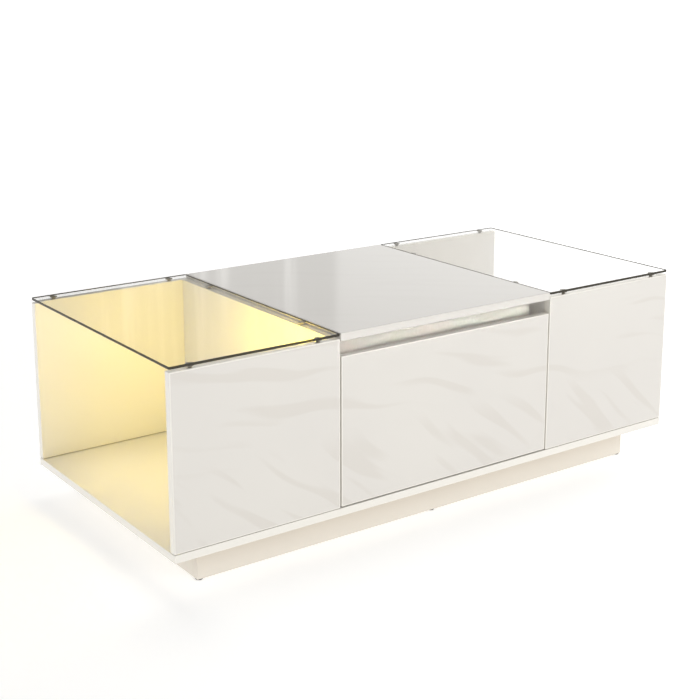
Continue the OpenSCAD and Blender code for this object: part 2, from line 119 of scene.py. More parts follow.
def addRange(tree, value, fromLow, fromHigh, toLow=0.0, toHigh=1.0):
    node = addNode(tree, "ShaderNodeMapRange", {"interpolation_type": "SMOOTHSTEP"}, {
        "Value": value, "From Min": fromLow, "From Max": fromHigh,
        "To Min": toLow, "To Max": toHigh})
    return node.outputs["Result"]


def addMix(tree, factor, first, second):
    node = addNode(tree, "ShaderNodeMix", {"data_type": "RGBA"},
                   {0: factor, 6: first, 7: second})
    return node.outputs[2]


def splitAxes(tree, vector):
    return addNode(tree, "ShaderNodeSeparateXYZ", None, {"Vector": vector}).outputs


def addNoise(tree, vector, scale, detail=3.0, roughness=0.5, distortion=0.0):
    node = addNode(tree, "ShaderNodeTexNoise", None, {
        "Vector": vector, "Scale": scale, "Detail": detail,
        "Roughness": roughness, "Distortion": distortion})
    return node.outputs["Fac"]


def addMapping(tree, vector, turn=(0, 0, 0), scale=(1, 1, 1)):
    node = addNode(tree, "ShaderNodeMapping", None, {
        "Vector": vector, "Rotation": [math.radians(a) for a in turn], "Scale": scale})
    return node.outputs["Vector"]


def makeLacquerGroup():
    # Orange peel, slow ripple and faint wiping marks of a sprayed and buffed lacquer
    group, entry, leave = newGroup(
        "sprayedLacquer", {"Peel Scale": 160.0, "Smudge": 0.05, "Gloss": 0.08},
        ["Height", "Roughness"])
    peel = addNoise(group, entry["Vector"], entry["Peel Scale"], 2.0, 0.4)
    ripple = addNoise(group, entry["Vector"], 5.0, 1.0, 0.4)
    height = addMath(group, "ADD", addMath(group, "MULTIPLY", peel, 0.12), ripple)
    wiped = addMapping(group, entry["Vector"], (20, 35, 15), (3, 14, 3))
    smear = addNoise(group, wiped, 1.0, 6.0, 0.65, 0.8)
    marks = addRange(group, smear, 0.45, 0.8)
    rough = addMath(group, "MULTIPLY_ADD", marks, entry["Smudge"], entry["Gloss"])
    group.links.new(height, leave["Height"])
    group.links.new(rough, leave["Roughness"])
    return group


def makeReflectionStreakGroup():
    # Painted reflections: long thin streaks that slant down along X and taper out, after the
    # vector is scaled
    group, entry, leave = newGroup(
        "softStreaks", {"Slant": 0.3, "Length": 4.0, "Height": 20.0}, ["Streaks"])
    parts = splitAxes(group, entry["Vector"])
    sway = addNoise(group, entry["Vector"], 4.0, 1.0)
    lifted = addMath(group, "MULTIPLY_ADD", parts["X"], entry["Slant"], parts["Z"])
    swayed = addMath(group, "MULTIPLY_ADD", sway, 0.08, lifted)
    laid = addNode(group, "ShaderNodeCombineXYZ", None, {
        "X": addMath(group, "MULTIPLY", parts["X"], entry["Length"]),
        "Y": addMath(group, "MULTIPLY", parts["Y"], entry["Length"]),
        "Z": addMath(group, "MULTIPLY", swayed, entry["Height"])}).outputs["Vector"]
    leaf = addNoise(group, laid, 1.0, 1.0, 0.4, 0.1)
    group.links.new(addRange(group, leaf, 0.55, 0.66), leave["Streaks"])
    return group


def makeGrainGroup():
    # Growth rings and pores of sawn wood, running along the vector's X
    group, entry, leave = newGroup(
        "sawnGrain", {"Rings": 90.0, "Pores": 900.0}, ["Rings", "Pores"])
    long = addMapping(group, entry["Vector"], (0, 0, 3), (0.05, 1, 1))
    wave = addNode(group, "ShaderNodeTexWave", {"wave_type": "BANDS", "bands_direction": "Y"}, {
        "Vector": long, "Scale": entry["Rings"], "Distortion": 6.0,
        "Detail": 3.0, "Detail Scale": 1.2})
    pores = addNoise(group, long, entry["Pores"], 2.0, 0.7)
    group.links.new(wave.outputs["Fac"], leave["Rings"])
    group.links.new(addRange(group, pores, 0.5, 0.72), leave["Pores"])
    return group


def makeMetalGroup():
    # Drawing lines along Y and cloudy plating of formed steel
    group, entry, leave = newGroup("drawnSteel", {"Lines": 1400.0}, ["Lines", "Plating"])
    long = addMapping(group, entry["Vector"], scale=(1, 0.012, 1))
    lines = addNoise(group, long, entry["Lines"], 2.0, 0.6)
    plating = addNoise(group, entry["Vector"], 55.0, 5.0, 0.6, 0.3)
    group.links.new(lines, leave["Lines"])
    group.links.new(plating, leave["Plating"])
    return group


def makePowderGroup():
    # Fine leather-like texture of powder coat or moulded plastic
    group, entry, leave = newGroup("fineTexture", {"Scale": 1500.0}, ["Height", "Dust"])
    cells = addNode(group, "ShaderNodeTexVoronoi", {"feature": "SMOOTH_F1"}, {
        "Vector": entry["Vector"], "Scale": entry["Scale"]})
    dust = addNoise(group, entry["Vector"], 35.0, 6.0, 0.7)
    group.links.new(cells.outputs["Distance"], leave["Height"])
    group.links.new(addRange(group, dust, 0.5, 0.8), leave["Dust"])
    return group


groups = {
    "lacquer": makeLacquerGroup(),
    "streaks": makeReflectionStreakGroup(),
    "grain": makeGrainGroup(),
    "metal": makeMetalGroup(),
    "powder": makePowderGroup(),
}
print("shader groups built")


def startMaterial(name, values):
    material = bpy.data.materials.new(name)
    material.use_nodes = True
    tree = material.node_tree
    shader = tree.nodes["Principled BSDF"]
    for key, value in values.items():
        shader.inputs[key].default_value = value
    coords = tree.nodes.new("ShaderNodeTexCoord").outputs["Object"]
    return material, tree, shader, coords


def useGroup(tree, key, inputs):
    return addNode(tree, "ShaderNodeGroup", {"node_tree": groups[key]}, inputs)


def addBump(tree, shader, height, strength, distance):
    bump = addNode(tree, "ShaderNodeBump", None, {
        "Height": height, "Strength": strength, "Distance": distance})
    tree.links.new(bump.outputs["Normal"], shader.inputs["Normal"])


# Painted reflections: gentle streaks on the upper half of the fronts, steeper ones on the lower
# half
reflectionStreakBands = (
    {"fade": (0.20, 0.26), "share": (0.0, 1.0),
     "streak": {"Slant": 0.16, "Length": 3.6, "Height": 34.0}},
    {"fade": (0.18, 0.24), "share": (1.0, 0.0),
     "streak": {"Slant": 0.8, "Length": 6.0, "Height": 30.0}},
)


def lacquerMaterial(name, look):
    material, tree, shader, coords = startMaterial(name, {
        "Coat Weight": look["coat"], "Coat Roughness": look["coatRough"], "IOR": 1.5})
    placed = addMapping(tree, coords, look.get("turn", (0, 0, 0)))
    cloud = addRange(tree, addNoise(tree, placed, 3.0, 2.0, 0.4), 0.35, 0.7, 0.0, look["cloud"])
    cloudy = addMix(tree, cloud, look["colour"], look["cloudColour"])
    height = splitAxes(tree, placed)["Z"]
    # Each band mixes its darker streaks into the base colour as painted reflections
    for band in reflectionStreakBands:
        start, stop = band["fade"]
        below, above = (share * look["streak"] for share in band["share"])
        share = addRange(tree, height, start, stop, below, above)
        streaks = useGroup(tree, "streaks", {"Vector": placed, **band["streak"]})
        cloudy = addMix(tree, addMath(tree, "MULTIPLY", streaks.outputs["Streaks"], share),
                        cloudy, look["streakColour"])
    if "lowColour" in look:    # painted shade: darker towards the top, under the carcass, paler towards the floor
        foot = addRange(tree, height, 0.0, look["lowHeight"], 1.0, 0.0)
        cloudy = addMix(tree, foot, cloudy, look["lowColour"])
    tree.links.new(cloudy, shader.inputs["Base Color"])
    spray = useGroup(tree, "lacquer", {
        "Vector": coords, "Gloss": look["gloss"], "Smudge": look["smudge"],
        "Peel Scale": look["peelScale"]})
    tree.links.new(spray.outputs["Roughness"], shader.inputs["Roughness"])
    addBump(tree, shader, spray.outputs["Height"], look["peel"], 0.002)
    return material


def woodMaterial(name, look):
    material, tree, shader, coords = startMaterial(name, {"IOR": 1.45})
    along = addMapping(tree, coords, look["turn"])
    grain = useGroup(tree, "grain", {"Vector": along, "Rings": look["rings"]})
    ringed = addMix(tree, grain.outputs["Rings"], look["early"], look["late"])
    pored = addMix(tree, addMath(tree, "MULTIPLY", grain.outputs["Pores"], 0.5),
                   ringed, look["pore"])
    tree.links.new(pored, shader.inputs["Base Color"])
    tree.links.new(addRange(tree, grain.outputs["Rings"], 0.0, 1.0, 0.62, 0.78),
                   shader.inputs["Roughness"])
    addBump(tree, shader, grain.outputs["Rings"], 0.25, 0.0004)
    return material


def steelMaterial(name, look):
    material, tree, shader, coords = startMaterial(name, {"Metallic": 1.0})
    metal = useGroup(tree, "metal", {"Vector": coords, "Lines": look["lines"]})
    plated = addRange(tree, metal.outputs["Plating"], 0.2, 0.8)
    tree.links.new(addMix(tree, plated, look["dark"], look["light"]), shader.inputs["Base Color"])
    low, high = look["rough"]
    tree.links.new(addRange(tree, metal.outputs["Plating"], 0.25, 0.75, low, high),
                   shader.inputs["Roughness"])
    addBump(tree, shader, metal.outputs["Lines"], look["bump"], 0.0002)
    return material


def texturedMaterial(name, look):
    material, tree, shader, coords = startMaterial(name, look.get("values", {}))
    powder = useGroup(tree, "powder", {"Vector": coords, "Scale": look["scale"]})
    dusted = addMix(tree, addMath(tree, "MULTIPLY", powder.outputs["Dust"], look["dust"]),
                    look["colour"], look["dustColour"])
    tree.links.new(dusted, shader.inputs["Base Color"])
    low, high = look["rough"]
    tree.links.new(addRange(tree, powder.outputs["Dust"], 0.0, 1.0, low, high),
                   shader.inputs["Roughness"])
    addBump(tree, shader, powder.outputs["Height"], look["bump"], 0.0003)
    return material


def clearGlassMaterial(name, look):
    # Polished glass that lets lamp light through to what is behind it
    material, tree, shader, coords = startMaterial(name, {
        "Transmission Weight": 1.0, "IOR": look["ior"], "Base Color": look["tint"]})
    smear = addNoise(tree, addMapping(tree, coords, (0, 0, 30), (2, 9, 2)), 3.0, 6.0, 0.6, 0.6)
    tree.links.new(addRange(tree, smear, 0.5, 0.85, 0.0, look["smear"]),
                   shader.inputs["Roughness"])
    clear = addNode(tree, "ShaderNodeBsdfTransparent", None, {"Color": look["shadowTint"]})
    path = tree.nodes.new("ShaderNodeLightPath")
    blend = tree.nodes.new("ShaderNodeMixShader")
    tree.links.new(path.outputs["Is Shadow Ray"], blend.inputs[0])
    tree.links.new(shader.outputs[0], blend.inputs[1])
    tree.links.new(clear.outputs[0], blend.inputs[2])
    tree.links.new(blend.outputs[0], tree.nodes["Material Output"].inputs["Surface"])
    return material


def glowMaterial(name, look):
    material, tree, shader, coords = startMaterial(name, {
        "Base Color": look["colour"], "Roughness": 0.45, "Emission Strength": look["strength"]})
    spots = addNode(tree, "ShaderNodeTexWave", {"wave_type": "BANDS", "bands_direction": "X"}, {
        "Vector": coords, "Scale": look["pitch"], "Distortion": 0.0})
    glow = addMix(tree, spots.outputs["Fac"], look["between"], look["bright"])
    along = splitAxes(tree, coords)["X"]
    start, stop = look["ends"]
    fed = addRange(tree, along, start, stop, look["farShare"], 1.0)    # fed from one end
    dimmed = addNode(tree, "ShaderNodeVectorMath", {"operation": "SCALE"}, {
        0: glow, "Scale": fed}).outputs["Vector"]
    tree.links.new(dimmed, shader.inputs["Emission Color"])
    grain = addNoise(tree, coords, 900.0, 2.0)
    addBump(tree, shader, grain, 0.1, 0.0002)
    return material


# The darker streak colour paints reflections into the lacquer: strong on the fronts, faint on the
# lid
whiteLook = {
    "colour": (0.735, 0.71, 0.665, 1), "cloudColour": (0.705, 0.68, 0.645, 1),
    "streakColour": (0.58, 0.53, 0.47, 1), "cloud": 0.6, "streak": 0.24,
    "coat": 1.0, "coatRough": 0.015, "gloss": 0.16, "smudge": 0.05,
    "peel": 0.010, "peelScale": 150.0,
}
materialLooks = {
    "panelFace": (lacquerMaterial, whiteLook),
    "plainFace": (lacquerMaterial, {
        **whiteLook, "colour": (0.84, 0.82, 0.785, 1), "cloudColour": (0.82, 0.80, 0.77, 1),
        "streak": 0.0, "cloud": 0.35}),
    "lidFace": (lacquerMaterial, {
        **whiteLook, "colour": (0.765, 0.735, 0.685, 1), "cloudColour": (0.735, 0.71, 0.665, 1),
        "streak": 0.05, "cloud": 0.4, "turn": (90, 0, 0), "gloss": 0.10}),
    # The edge bands are a paler copy of the white lacquer: a real edge band, with painted
    # highlight where the edges face the light
    "panelBand": (lacquerMaterial, {
        **whiteLook, "colour": (0.86, 0.835, 0.775, 1), "cloudColour": (0.84, 0.81, 0.75, 1),
        "cloud": 0.3, "streak": 0.0, "gloss": 0.22, "coatRough": 0.04}),
    "lidBand": (lacquerMaterial, {
        **whiteLook, "cloud": 0.3, "streak": 0.0, "gloss": 0.22, "coatRough": 0.04}),
    "satinBoard": (lacquerMaterial, {
        **whiteLook, "colour": (0.77, 0.745, 0.70, 1), "streak": 0.0, "cloud": 0.2, "coat": 0.15,
        "coatRough": 0.3, "gloss": 0.42, "smudge": 0.12, "peelScale": 420.0, "peel": 0.03}),
    # The plinth's paint is darkened at the top and paler by the floor: painted shade under the
    # overhanging carcass
    "plinthPaint": (lacquerMaterial, {
        **whiteLook, "colour": (0.60, 0.53, 0.44, 1), "cloudColour": (0.58, 0.51, 0.42, 1),
        "lowColour": (0.78, 0.73, 0.65, 1), "lowHeight": 0.078,
        "streak": 0.0, "cloud": 0.35, "coat": 0.2, "coatRough": 0.25, "gloss": 0.38,
        "smudge": 0.1, "peelScale": 300.0, "peel": 0.04}),
    "pine": (woodMaterial, {
        "turn": (0, 0, 90), "rings": 70.0, "early": (0.66, 0.49, 0.30, 1),
        "late": (0.46, 0.28, 0.13, 1), "pore": (0.30, 0.18, 0.09, 1)}),
    "beech": (woodMaterial, {
        "turn": (0, 90, 0), "rings": 260.0, "early": (0.62, 0.43, 0.27, 1),
        "late": (0.50, 0.32, 0.19, 1), "pore": (0.33, 0.19, 0.10, 1)}),
    "clearGlass": (clearGlassMaterial, {
        "ior": 1.10, "tint": (0.935, 0.933, 0.922, 1), "smear": 0.03,
        "shadowTint": (0.71, 0.68, 0.59, 1)}),
    "glassEdge": (texturedMaterial, {
        "colour": (0.045, 0.040, 0.029, 1), "dustColour": (0.08, 0.07, 0.055, 1), "dust": 0.4,
        "scale": 600.0, "rough": (0.15, 0.3), "bump": 0.05,
        "values": {"IOR": 1.5, "Specular IOR Level": 0.25}}),
    "smokeRubber": (texturedMaterial, {
        "colour": (0.20, 0.18, 0.145, 1), "dustColour": (0.32, 0.30, 0.26, 1), "dust": 0.5,
        "scale": 900.0, "rough": (0.28, 0.5), "bump": 0.1,
        "values": {"Subsurface Weight": 0.25, "Subsurface Radius": (0.004, 0.004, 0.003)}}),
    "blackFelt": (texturedMaterial, {
        "colour": (0.05, 0.05, 0.05, 1), "dustColour": (0.22, 0.22, 0.21, 1), "dust": 0.7,
        "scale": 2600.0, "rough": (0.85, 0.95), "bump": 0.9}),
    "powderBlack": (texturedMaterial, {
        "colour": (0.022, 0.022, 0.024, 1), "dustColour": (0.07, 0.07, 0.07, 1), "dust": 0.35,
        "scale": 1700.0, "rough": (0.38, 0.6), "bump": 0.35}),
    "capPlastic": (texturedMaterial, {
        "colour": (0.78, 0.76, 0.72, 1), "dustColour": (0.66, 0.63, 0.58, 1), "dust": 0.3,
        "scale": 1300.0, "rough": (0.4, 0.55), "bump": 0.15}),
    "anodised": (steelMaterial, {
        "lines": 900.0, "dark": (0.66, 0.66, 0.67, 1), "light": (0.78, 0.78, 0.79, 1),
        "rough": (0.3, 0.42), "bump": 0.12}),
    "zincSteel": (steelMaterial, {
        "lines": 1400.0, "dark": (0.52, 0.53, 0.55, 1), "light": (0.60, 0.61, 0.63, 1),
        "rough": (0.28, 0.38), "bump": 0.12}),
    "turnedSteel": (steelMaterial, {
        "lines": 2200.0, "dark": (0.45, 0.45, 0.46, 1), "light": (0.60, 0.60, 0.61, 1),
        "rough": (0.16, 0.30), "bump": 0.3}),
    "springSteel": (steelMaterial, {
        "lines": 1800.0, "dark": (0.20, 0.19, 0.19, 1), "light": (0.36, 0.35, 0.35, 1),
        "rough": (0.25, 0.42), "bump": 0.2}),
    "warmGlow": (glowMaterial, {
        "colour": (0.95, 0.90, 0.75, 1), "bright": (1.0, 0.79, 0.09, 1),
        "between": (1.0, 0.76, 0.08, 1), "pitch": 60.0, "strength": 25.0,
        "ends": [corner.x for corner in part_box("light_diffuser")], "farShare": 0.3}),
}
materials = {name: make(name, look) for name, (make, look) in materialLooks.items()}
print("materials built:", len(materials))


# Helpers that shape a mesh and hand it over as a piece

def meshObject(name, shape):
    # Writes the bmesh to a new object at the origin
    mesh = bpy.data.meshes.new(name)
    shape.to_mesh(mesh)
    shape.free()
    made = bpy.data.objects.new(name, mesh)
    scene.collection.objects.link(made)
    return made


def finishPiece(name, shape, body, materialNames, node):
    # Hands the finished shape to its body, in the place of its CAD node
    piece = meshObject(name, shape)
    for key in materialNames:
        piece.data.materials.append(materials[key])
    for face in piece.data.polygons:
        face.use_smooth = True
    weighted = piece.modifiers.new("flatFaces", "WEIGHTED_NORMAL")
    weighted.keep_sharp = True
    weighted.weight = 60
    if body is not None:
        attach(piece, body)
    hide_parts(node)
    return piece


def midway(low, high):
    return Vector([(a + b) / 2 for a, b in zip(low, high)])


def boxShape(low, high):
    made = bmesh.new()
    addBox(made, low, high)
    return made


def addBox(shape, low, high):
    made = bmesh.ops.create_cube(shape, size=1.0)["verts"]
    bmesh.ops.scale(shape, vec=[b - a for a, b in zip(low, high)], verts=made)
    bmesh.ops.translate(shape, vec=midway(low, high), verts=made)
    return made


def roundEdges(shape, edges, radius, segments=3):
    made = bmesh.ops.bevel(shape, geom=edges, offset=radius, offset_type="OFFSET",
                           segments=segments, profile=0.5, affect="EDGES", material=-1,
                           clamp_overlap=True)
    return made["faces"]


def edgesAlong(shape, axis):
    return [e for e in shape.edges if abs(e.verts[0].co[axis] - e.verts[1].co[axis]) > 1e-5]


def vertsOf(geometry):
    return [part for part in geometry if isinstance(part, bmesh.types.BMVert)]


def outline(shape, points):
    # A chain of edges through the points
    verts = [shape.verts.new(point) for point in points]
    return verts, [shape.edges.new(pair) for pair in zip(verts, verts[1:])]


def spinProfile(shape, profile, centre, axis, segments):
    # profile is (radius, height along the axis) from one end to the other
    axis = Vector(axis).normalized()
    side = axis.orthogonal().normalized()
    verts, edges = outline(shape, [Vector(centre) + side * r + axis * h for r, h in profile])
    bmesh.ops.spin(shape, geom=verts + edges, cent=centre, axis=axis, dvec=(0, 0, 0),
                   angle=2 * math.pi, steps=segments, use_merge=True)


def shapeOf(mesh):
    shape = bmesh.new()
    shape.from_mesh(mesh)
    return shape


def finalMesh(made, *spares):
    # The mesh as its modifiers leave it; the objects themselves are dropped
    bpy.context.view_layer.update()
    done = made.evaluated_get(bpy.context.evaluated_depsgraph_get())
    mesh = bpy.data.meshes.new_from_object(done)
    for spare in (made, *spares):
        bpy.data.objects.remove(spare)
    return mesh


def joinInto(shape, part):
    mesh = bpy.data.meshes.new("joining")
    part.to_mesh(mesh)
    part.free()
    shape.from_mesh(mesh)
    bpy.data.meshes.remove(mesh)


def closeShape(shape):
    bmesh.ops.remove_doubles(shape, verts=shape.verts, dist=1e-6)
    bmesh.ops.recalc_face_normals(shape, faces=shape.faces)


boardLook = {
    "round": 0.0010,       # radius of an eased edge
    "band": 0.0010,        # thickness of the edge band
    "seamWidth": 0.00018,
    "seamDepth": 0.00015,
}


def boardShape(low, high, look):
    # A board with eased edges; its two wide faces lie inside a hairline seam of the band
    thin = min(range(3), key=lambda i: high[i] - low[i])
    shape = boxShape(low, high)
    roundEdges(shape, list(shape.edges), look["round"])
    shape.normal_update()
    wide = [face for face in shape.faces if abs(face.normal[thin]) > 0.9999]
    for face in shape.faces:
        face.material_index = 1
    for face in wide:
        width, deep = look["seamWidth"], look["seamDepth"]
        for width, depth in ((look["band"], 0), (width, -deep), (width, deep)):
            bmesh.ops.inset_region(shape, faces=[face], thickness=width, depth=depth,
                                   use_even_offset=True)
        face.material_index = 0
    return shape


def makeBoards(node, body, faceKey, bandKey, look=boardLook):
    # One banded board for every separate box in the CAD node, which also gives the name:
    # left_front_panel becomes leftFrontBoard
    shape = bmesh.new()
    for low, high in boxesOf(node):
        low[2] += look.get("footGap", 0.0)
        joinInto(shape, boardShape(low, high, look))
    first, *words = node.replace("_panel", "").split("_")
    name = first + "".join(word.capitalize() for word in words) + "Board"
    finishPiece(look.get("name", name), shape, body, [faceKey, bandKey], node)


def boxesOf(node):
    # The box of each separate solid in a CAD node
    shape = shapeOf(frame["nodes"][node].data)
    bmesh.ops.remove_doubles(shape, verts=shape.verts, dist=1e-6)
    left = set(shape.verts)
    boxes = []
    while left:
        island = {left.pop()}
        front = list(island)
        while front:
            for edge in front.pop().link_edges:
                for vert in edge.verts:
                    if vert not in island:
                        island.add(vert)
                        front.append(vert)
        left -= island
        corners = [vert.co for vert in island]
        boxes.append(([min(c[i] for c in corners) for i in range(3)],
                      [max(c[i] for c in corners) for i in range(3)]))
    shape.free()
    return sorted(boxes)


standingLook = {**boardLook, "footGap": 0.0011}
sawnLook = {**boardLook, "round": 0.0014, "band": 0.003, "seamDepth": 0.0}
makeBoards("bottom_panel", "root", "plainFace", "panelBand")
for node in ("left_front_panel", "right_front_panel"):
    makeBoards(node, "root", "panelFace", "panelBand", standingLook)
for node in ("left_back_panel", "right_back_panel", "left_divider", "right_divider",
             "middle_back_panel"):
    makeBoards(node, "root", "plainFace", "panelBand", standingLook)
# The finger rail takes the paler band lacquer on all its faces: painted light in its recess under
# the lid
makeBoards("finger_rail", "root", "panelBand", "panelBand")
makeBoards("tray_floor", "root", "satinBoard", "panelBand")
for node in ("plinth_front", "plinth_back", "plinth_left", "plinth_right"):
    makeBoards(node, "root", "plinthPaint", "plinthPaint")
for node, pieceName in (("plinth_stretchers", "plinthStretcherBoards"),
                        ("plinth_corner_blocks", "plinthCornerBlocks")):
    makeBoards(node, "root", "pine", "pine", {**sawnLook, "name": pieceName})
makeBoards("lift_lid", "lid", "lidFace", "lidBand")
makeBoards("drawer_front", "drawer", "panelFace", "panelBand")
for node in ("drawer_side_left", "drawer_side_right", "drawer_back", "drawer_bottom"):
    makeBoards(node, "drawer", "satinBoard", "panelBand")
print("boards built")


glassLook = {"corner": 0.0035, "polish": 0.0006}


def makeGlass(name, node):
    low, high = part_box(node)
    shape = boxShape(low, high)
    roundEdges(shape, edgesAlong(shape, 2), glassLook["corner"], 8)
    rims = [e for e in shape.edges
            if abs(e.verts[0].co.z - e.verts[1].co.z) < 1e-6
            and any(abs(f.normal.z) > 0.9 for f in e.link_faces)]
    roundEdges(shape, rims, glassLook["polish"], 3)
    for face in shape.faces:
        face.material_index = 0 if abs(face.normal.z) > 0.99 else 1
    finishPiece(name, shape, "root", ["clearGlass", "glassEdge"], node)


makeGlass("leftGlassTop", "glass_left")
makeGlass("rightGlassTop", "glass_right")

# A suction cup that carries the glass, on a stem in the panel's edge.
# Radius and height are shares of the cup's own radius and of its lift.
cupProfile = [
    (0.0, -1.8), (0.26, -1.8), (0.34, -1.66), (0.34, 0.0), (0.50, 0.0), (0.49, 0.1),
    (0.45, 0.24), (0.47, 0.38), (0.58, 0.52), (0.78, 0.66), (0.93, 0.76), (0.99, 0.85),
    (1.0, 0.93), (0.98, 0.99), (0.93, 1.0), (0.80, 0.96), (0.55, 0.9), (0.25, 0.86), (0.0, 0.85)]


def makeCups(name, node, glassNode, panelNode):
    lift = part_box(glassNode)[0].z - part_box(panelNode)[1].z
    shape = bmesh.new()
    for low, high in boxesOf(node):
        radius = (high[0] - low[0]) / 2
        centre = midway(low, high)
        centre.z = high[2] - lift
        spinProfile(shape, [(r * radius, h * lift) for r, h in cupProfile], centre, (0, 0, 1), 32)
    closeShape(shape)
    finishPiece(name, shape, "root", ["smokeRubber"], node)


makeCups("leftGlassCups", "glass_bumpers_left", "glass_left", "left_front_panel")
makeCups("rightGlassCups", "glass_bumpers_right", "glass_right", "right_front_panel")
print("glass built")


def makeDiscs(name, node, body, materialKey, edge):
    shape = bmesh.new()
    for low, high in boxesOf(node):
        radius = (high[0] - low[0]) / 2
        height = high[2] - low[2]
        soft = min(edge, height / 2)
        arc = [(radius - soft + soft * math.sin(a), soft - soft * math.cos(a))
               for a in (0, math.pi / 6, math.pi / 3, math.pi / 2)]
        profile = [(0, 0)] + arc + [(r, height - h) for r, h in reversed(arc)] + [(0, height)]
        centre = midway(low, high)
        centre.z = low[2]
        spinProfile(shape, profile, centre, (0, 0, 1), 32)
    closeShape(shape)
    finishPiece(name, shape, body, [materialKey], node)


makeDiscs("floorGlides", "glides", "root", "blackFelt", 0.0008)
makeDiscs("lidRestPads", "lid_rest_pads", "root", "smokeRubber", 0.0004)

lightLook = {
    "ease": 0.0004,     # radius of the eased edges
    "bulge": 0.35,      # how far the diffuser is rounded, as a share of its height
}


def drawOut(shape, ring, start, stop):
    # Draws a closed outline of (y, z) points from x = start to x = stop
    verts = [shape.verts.new((start, y, z)) for y, z in ring]
    face = shape.faces.new(verts)
    drawn = bmesh.ops.extrude_face_region(shape, geom=[face], use_keep_orig=True)["geom"]
    bmesh.ops.translate(shape, vec=(stop - start, 0, 0), verts=vertsOf(drawn))
    closeShape(shape)


def makeLightBar():
    channelLow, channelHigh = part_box("light_channel")
    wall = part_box("light_diffuser")[0].z - channelLow.z
    shape = bmesh.new()
    ring = [(channelLow.y, channelLow.z), (channelHigh.y, channelLow.z),
            (channelHigh.y, channelLow.z + wall), (channelLow.y + wall, channelLow.z + wall),
            (channelLow.y + wall, channelHigh.z - wall), (channelHigh.y, channelHigh.z - wall),
            (channelHigh.y, channelHigh.z), (channelLow.y, channelHigh.z)]
    drawOut(shape, ring, channelLow.x, channelHigh.x)
    roundEdges(shape, list(shape.edges), lightLook["ease"] / 2, 2)
    finishPiece("lightChannelProfile", shape, "root", ["anodised"], "light_channel")

    low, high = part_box("light_diffuser")
    shape = boxShape(low, high)
    shape.normal_update()
    front = [f for f in shape.faces if f.normal.y > 0.9]
    rims = [e for e in front[0].edges if abs(e.verts[0].co.x - e.verts[1].co.x) > 1e-3]
    roundEdges(shape, rims, (high.z - low.z) * lightLook["bulge"], 5)
    finishPiece("lightDiffuserLens", shape, "root", ["warmGlow"], "light_diffuser")

    shape = bmesh.new()
    for low, high in boxesOf("light_end_caps"):
        cap = boxShape(low, high)
        roundEdges(cap, list(cap.edges), lightLook["ease"], 3)
        joinInto(shape, cap)
    finishPiece("lightEndCaps", shape, "root", ["capPlastic"], "light_end_caps")


makeLightBar()
print("light bar built")


slideLook = {
    "bend": 0.0016,     # radius of a bent edge
    "wall": 0.0012,     # thickness of the steel
}


def makeSlide(name, node, body, sideSign, openInward):
    # Sheet steel bent to a channel: an open strip, bent edges, then given its thickness
    low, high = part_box(node)
    wall = slideLook["wall"]
    webX = high.x if (sideSign > 0) == openInward else low.x
    rimX = low.x if webX == high.x else high.x
    towards = 1 if rimX > webX else -1
    middle = wall / 2
    path = [(rimX, low.z + middle), (webX + towards * middle, low.z + middle),
            (webX + towards * middle, high.z - middle), (rimX, high.z - middle)]
    shape = bmesh.new()
    verts, edges = outline(shape, [(x, low.y, z) for x, z in path])
    drawn = bmesh.ops.extrude_edge_only(shape, edges=edges)["geom"]
    bmesh.ops.translate(shape, vec=(0, high.y - low.y, 0), verts=vertsOf(drawn))
    bends = [e for e in shape.edges if len(e.link_faces) == 2]
    roundEdges(shape, bends, slideLook["bend"], 4)
    bmesh.ops.recalc_face_normals(shape, faces=shape.faces)
    bmesh.ops.solidify(shape, geom=list(shape.faces), thickness=wall)
    # Solidify grows to one side only, so the channel is brought back to its own box
    fitToBox(shape, low, high)
    closeShape(shape)
    finishPiece(name, shape, body, ["zincSteel"], node)


def fitToBox(shape, low, high):
    corners = [v.co for v in shape.verts]
    for axis in range(3):
        lowest = min(c[axis] for c in corners)
        highest = max(c[axis] for c in corners)
        grow = (high[axis] - low[axis]) / (highest - lowest)
        for vert in shape.verts:
            vert.co[axis] = low[axis] + (vert.co[axis] - lowest) * grow


for sideName, sideSign in (("left", -1), ("right", 1)):
    label = sideName.capitalize()
    makeSlide(f"slideOuter{label}", f"slide_outer_{sideName}", "root", sideSign, True)
    makeSlide(f"slideMiddle{label}", f"slide_middle_{sideName}", f"slide_middle_{sideName}",
              sideSign, True)
    makeSlide(f"slideInner{label}", f"slide_inner_{sideName}", "drawer", sideSign, False)
print("slides built")


screwLook = {
    "shank": 0.515,         # shank and head height, as shares of the head's radius
    "headHeight": 0.45,
    "core": 0.72,           # the thread's core, as a share of the shank
    "pitch": 0.0011,
    "recessWidth": 0.0011,
    "recessLength": 0.0042,
    "recessDepth": 0.0011,
    "recessTaper": 0.55,
}


